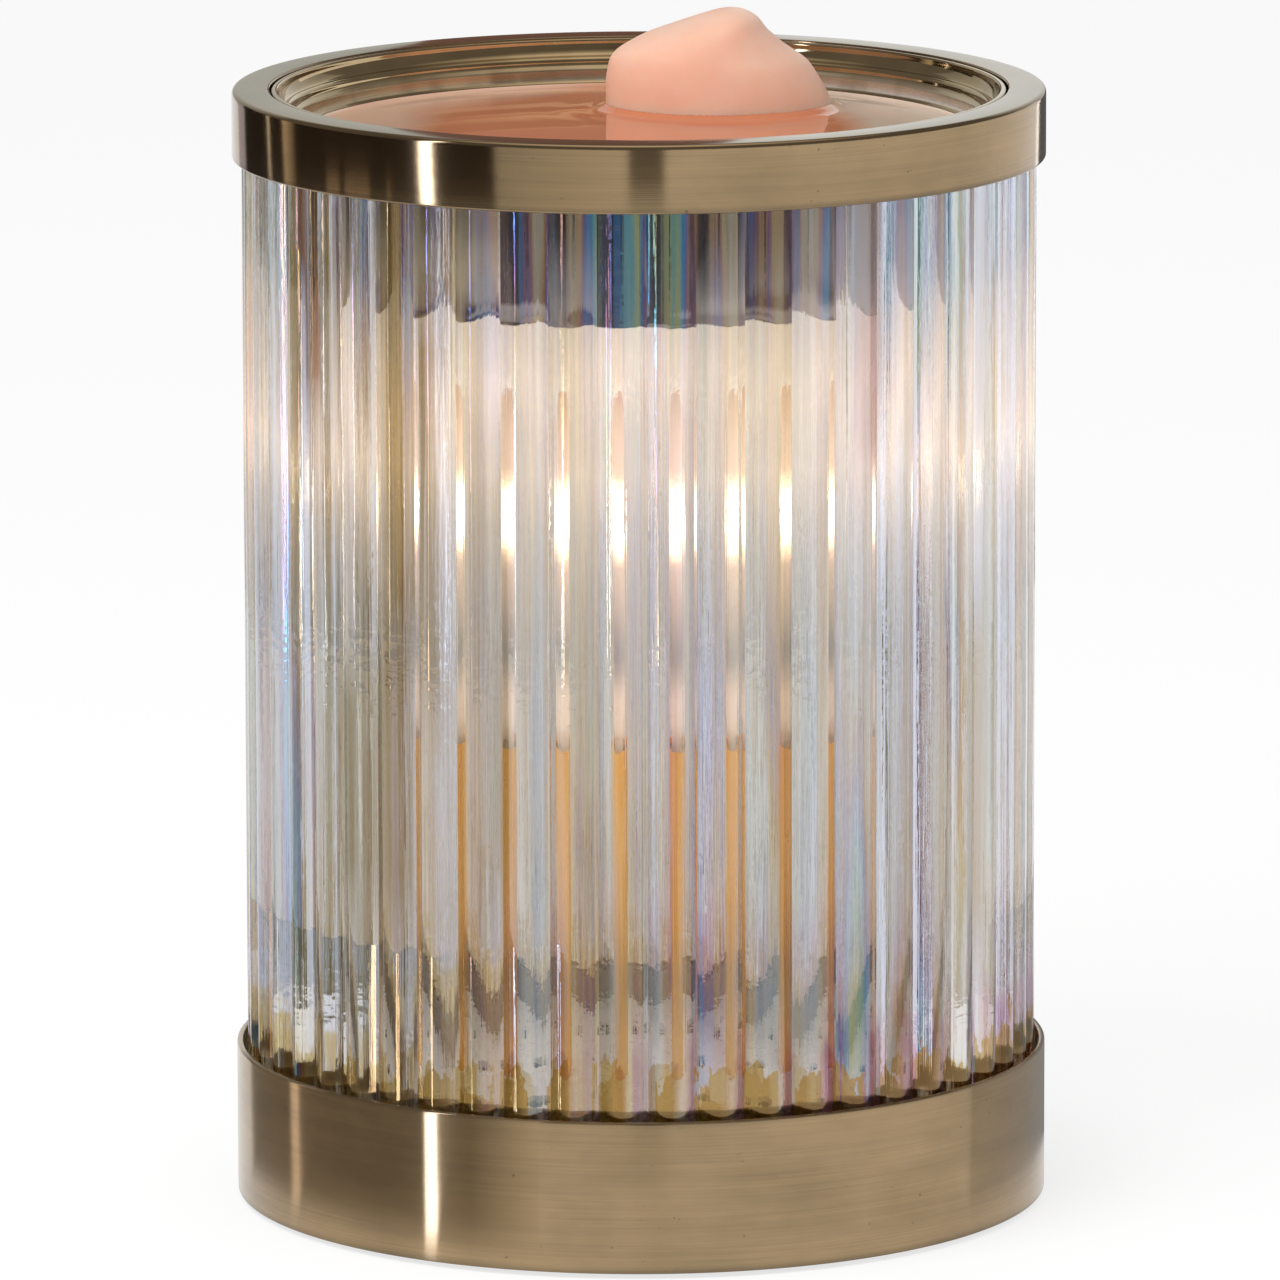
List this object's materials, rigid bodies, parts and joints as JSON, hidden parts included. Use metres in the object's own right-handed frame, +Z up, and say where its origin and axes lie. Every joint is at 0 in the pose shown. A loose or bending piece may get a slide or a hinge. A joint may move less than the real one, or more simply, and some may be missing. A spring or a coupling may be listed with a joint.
{
  "type": "electric wax warmer",
  "caption": "Table-top electric wax warmer: ribbed clear glass cylinder on a round brass base, brass top ring, lift-out dish with half melted wax, bulb inside and rocker switch at the back.",
  "frame": {"origin": "centre of the base on the surface that the feet stand on", "axes": "+Z up, the front faces -Y, the cord bush is at +Y and the switch is 42 degrees from it towards +X"},
  "size_m": [0.1274, 0.1294, 0.1842],
  "materials": {
    "brushed_brass": "brushed antique brass, fine horizontal lines",
    "plain_brass": "plain",
    "bronze": "polished bronze",
    "copper": "satin copper plate",
    "steel": "zinc plated",
    "plate_paint": "black paint",
    "shade_glass": "clear, thin rainbow coat",
    "bulb_glass": "clear",
    "silicone": "matt",
    "foot_rubber": "matt",
    "black_plastic": "fine grain",
    "pale_plastic": "plain",
    "lead_black": "plain",
    "lead_white": "plain",
    "molten_wax": "wet gloss",
    "solid_wax": "soft satin, half clear"
  },
  "bodies": {
    "base": {"base_band": "brushed_brass", "deck_pan": "steel", "base_plate": "plate_paint", "plate_post_1": "steel", "plate_screw_1": "steel", "plate_post_2": "steel", "plate_screw_2": "steel", "plate_post_3": "steel", "plate_screw_3": "steel", "foot_1": "foot_rubber", "foot_2": "foot_rubber", "foot_3": "foot_rubber", "foot_4": "foot_rubber", "lower_gasket": "silicone", "glass_shade": "shade_glass", "upper_gasket": "silicone", "top_ring": "brushed_brass", "lamp_stem": "copper", "stem_nut_lower": "steel", "stem_washer": "steel", "stem_nut_upper": "steel", "lamp_sleeve": "copper", "lampholder": "black_plastic", "contact_plate": "pale_plastic", "screw_shell": "plain_brass", "centre_contact": "plain_brass", "switch_housing": "black_plastic", "switch_tab_1": "plain_brass", "switch_tab_2": "plain_brass", "cord_bush": "black_plastic", "terminal_block": "pale_plastic", "terminal_screw_1": "steel", "terminal_screw_2": "steel", "lead_in": "lead_black", "lead_live": "lead_black", "lead_neutral": "lead_white"},
    "dish": {"dish": "bronze", "wax_pool": "molten_wax", "wax_cube": "solid_wax"},
    "bulb": {"bulb_cap": "plain_brass", "cap_insulator": "black_plastic", "cap_tip": "steel", "bulb_glass": "bulb_glass", "bulb_mount": "bulb_glass", "filament_post_1": "steel", "filament_post_2": "steel", "filament": "steel"},
    "rocker": {"switch_rocker": "black_plastic"}
  },
  "joints": [
    {"name": "dish_lift", "type": "slide", "parent": "base", "child": "dish", "axis": [0, 0, 1], "range_m": [0, 0.06]},
    {"name": "bulb_unscrew", "type": "hinge", "parent": "base", "child": "bulb", "pos_m": [0, 0, 0.06], "axis": [0, 0, 1], "range_deg": [0, 720]},
    {"name": "switch_rocker", "type": "hinge", "parent": "base", "child": "rocker", "pos_m": [0.04232, 0.047, 0.01], "axis": [0, 0, 1], "range_deg": [-24, 0]}
  ]
}
